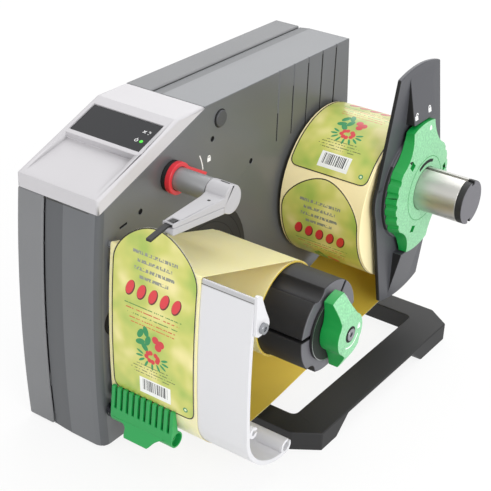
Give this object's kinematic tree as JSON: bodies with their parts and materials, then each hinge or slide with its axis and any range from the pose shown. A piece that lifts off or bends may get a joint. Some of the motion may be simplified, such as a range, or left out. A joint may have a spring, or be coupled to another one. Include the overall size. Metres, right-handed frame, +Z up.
{
  "type": "label dispenser machine",
  "caption": "Desk machine that peels labels off their liner: tall grey housing with sloped panel, side-mounted roll shaft with blade stop, dispensing plate, comb and rewinder.",
  "frame": {"origin": "centre of the bounding box, on the surface the machine stands on", "axes": "+X out of the side that carries the rolls, +Y from the front (dispensing plate) to the back, +Z up"},
  "size_m": [0.228, 0.372, 0.2578],
  "materials": {
    "cast_grey": "satin grey paint on a casting",
    "shell_grey": "fine matt texture",
    "cover_grey": "light grey, fine matt texture",
    "window_black": "smooth dark window",
    "light_green": "clear green",
    "board_green": "solder resist",
    "black_plastic": "moulded, low sheen",
    "frame_black": "matt black",
    "rubber": "matt",
    "satin_metal": "turned, satin",
    "white_metal": "pale anodised",
    "steel": "bright zinc",
    "motor_black": "black coated laminations",
    "light_casting": "as cast",
    "green": "moulded, semi-matt",
    "red": "moulded, semi-gloss",
    "liner_yellow": "glazed yellow liner paper",
    "label_green": "coated printed paper",
    "card": "wound cardboard",
    "tube_grey": "satin",
    "arm_grey": "silver grey, fine matt texture",
    "dark_grey": "moulded, satin"
  },
  "bodies": {
    "chassis": {"chassis": "cast_grey", "rear_cover": "shell_grey", "operator_cover": "cover_grey", "display_window": "window_black", "status_light": "light_green", "display_board": "board_green", "control_board": "board_green", "round_cap": "black_plastic", "sensor_bush": "black_plastic", "power_inlet": "black_plastic", "switch_frame": "black_plastic", "foot_frame": "frame_black", "front_foot_pad": "rubber", "back_foot_pad": "rubber", "drive_belt": "rubber", "unwind_shaft": "satin_metal", "dispense_edge": "satin_metal", "dispense_plate": "white_metal", "end_bracket": "white_metal", "bracket_screw": "steel", "plate_screw_low": "steel", "plate_screw_high": "steel", "frame_screw_front": "steel", "frame_screw_back": "steel", "shaft_bolt": "steel", "comb_shaft": "steel", "comb_spring": "steel", "bearing_inner": "steel", "bearing_outer": "steel", "motor_bracket": "steel", "interface_socket": "steel", "motor": "motor_black", "bearing_block": "light_casting", "power_supply": "light_casting", "label_web": "liner_yellow", "peeled_label": "label_green", "shaft_end_cap": "dark_grey"},
    "rewinder": {"rewind_shaft": "steel", "rewind_flange": "black_plastic", "rewind_pulley": "black_plastic", "retaining_disc": "dark_grey", "knob_screw": "steel", "wound_liner": "liner_yellow"},
    "rewind_knob": {"rewind_knob": "green"},
    "hub_segment_1": {"hub_segment_1": "black_plastic"},
    "hub_segment_2": {"hub_segment_2": "black_plastic"},
    "hub_segment_3": {"hub_segment_3": "black_plastic"},
    "motor_rotor": {"motor_pulley": "black_plastic"},
    "label_roll": {"roll_core": "card", "label_roll": "label_green"},
    "margin_stop": {"margin_stop": "dark_grey"},
    "margin_knob": {"margin_knob": "green"},
    "sensor_carriage": {"sensor_tube": "tube_grey"},
    "sensor_arm": {"sensor_arm_upper": "arm_grey", "sensor_arm_lower": "arm_grey", "sensor_finger": "black_plastic"},
    "sensor_lever": {"sensor_lever": "red"},
    "brake_comb": {"brake_comb": "green"},
    "power_rocker": {"power_rocker": "red"}
  },
  "joints": [
    {"name": "rewind_spin", "type": "hinge", "parent": "chassis", "child": "rewinder", "pos_m": [-0.036, -0.0595, 0.1055], "axis": [1, 0, 0], "continuous": true},
    {"name": "motor_spin", "type": "hinge", "parent": "chassis", "child": "motor_rotor", "pos_m": [-0.083, 0.0175, 0.062], "axis": [1, 0, 0], "continuous": true},
    {"name": "rewind_knob_turn", "type": "hinge", "parent": "rewinder", "child": "rewind_knob", "pos_m": [0.094, -0.0595, 0.1055], "axis": [1, 0, 0], "range_deg": [0, 60]},
    {"name": "hub_segment_1_retract", "type": "slide", "parent": "rewinder", "child": "hub_segment_1", "axis": [0, 0.5736, 0.8192], "range_m": [0, 0.0012]},
    {"name": "hub_segment_2_retract", "type": "slide", "parent": "rewinder", "child": "hub_segment_2", "axis": [0, -0.9962, 0.0872], "range_m": [0, 0.0012]},
    {"name": "hub_segment_3_retract", "type": "slide", "parent": "rewinder", "child": "hub_segment_3", "axis": [0, 0.4226, -0.9063], "range_m": [0, 0.0012]},
    {"name": "roll_spin", "type": "hinge", "parent": "chassis", "child": "label_roll", "pos_m": [0.009, 0.1175, 0.1313], "axis": [1, 0, 0], "continuous": true},
    {"name": "margin_slide", "type": "slide", "parent": "chassis", "child": "margin_stop", "axis": [1, 0, 0], "range_m": [0, 0.035]},
    {"name": "margin_knob_turn", "type": "hinge", "parent": "margin_stop", "child": "margin_knob", "pos_m": [0.059, 0.1175, 0.15], "axis": [1, 0, 0], "range_deg": [0, 18]},
    {"name": "sensor_slide", "type": "slide", "parent": "chassis", "child": "sensor_carriage", "axis": [1, 0, 0], "range_m": [-0.02, 0.03]},
    {"name": "sensor_swing", "type": "hinge", "parent": "sensor_carriage", "child": "sensor_arm", "pos_m": [0.011, -0.096, 0.2067], "axis": [-1, 0, 0], "range_deg": [0, 60]},
    {"name": "sensor_lever_turn", "type": "hinge", "parent": "chassis", "child": "sensor_lever", "pos_m": [-0.0298, -0.096, 0.2067], "axis": [1, 0, 0], "range_deg": [0, 40]},
    {"name": "comb_hinge", "type": "hinge", "parent": "chassis", "child": "brake_comb", "pos_m": [0, -0.1693, 0.0365], "axis": [1, 0, 0], "range_deg": [0, 50], "stiffness_Nm_per_rad": 0.02, "springref_deg": -20.05},
    {"name": "rocker_tilt", "type": "hinge", "parent": "chassis", "child": "power_rocker", "pos_m": [-0.063, 0.161, 0.078], "axis": [0, 0, -1], "range_deg": [0, 14]}
  ],
  "couplings": [
    {"joint": "motor_spin", "follows": "rewind_spin", "ratio": 3},
    {"joint": "rewind_knob_turn", "follows": "hub_segment_1_retract", "rad_per_m": 872.6},
    {"joint": "hub_segment_2_retract", "follows": "hub_segment_1_retract", "ratio": 1},
    {"joint": "hub_segment_3_retract", "follows": "hub_segment_1_retract", "ratio": 1}
  ]
}
